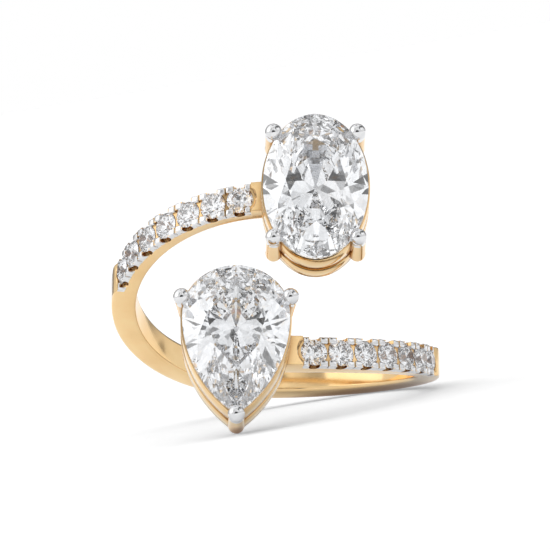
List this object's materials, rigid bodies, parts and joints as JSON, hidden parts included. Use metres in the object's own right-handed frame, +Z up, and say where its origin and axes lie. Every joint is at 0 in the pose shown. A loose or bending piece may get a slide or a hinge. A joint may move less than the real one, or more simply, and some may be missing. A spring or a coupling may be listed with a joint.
{
  "type": "toi et moi ring",
  "caption": "Bypass ring with an oval and a pear diamond on its two ends, each in a raised prong basket, and small round diamonds set along both arms.",
  "frame": {"origin": "middle of the ring's footprint on the surface it lies on", "axes": "+X to the right of the ring seen from its stones, +Y from the stones towards the back of the shank, +Z up from the surface"},
  "size_m": [0.0192, 0.0258, 0.0179],
  "materials": {
    "yellow_gold": "polished 14 carat yellow gold",
    "rhodium": "polished rhodium plate on the prongs and the stones' side walls",
    "diamond": "clear faceted diamond"
  },
  "bodies": {
    "root": {"ring_metal": "yellow_gold", "oval_diamond": "diamond", "pear_diamond": "diamond", "oval_arm_stone_1": "diamond", "oval_arm_stone_2": "diamond", "oval_arm_stone_3": "diamond", "oval_arm_stone_4": "diamond", "oval_arm_stone_5": "diamond", "oval_arm_stone_6": "diamond", "oval_arm_stone_7": "diamond", "pear_arm_stone_1": "diamond", "pear_arm_stone_2": "diamond", "pear_arm_stone_3": "diamond", "pear_arm_stone_4": "diamond", "pear_arm_stone_5": "diamond", "pear_arm_stone_6": "diamond", "pear_arm_stone_7": "diamond"}
  },
  "joints": []
}
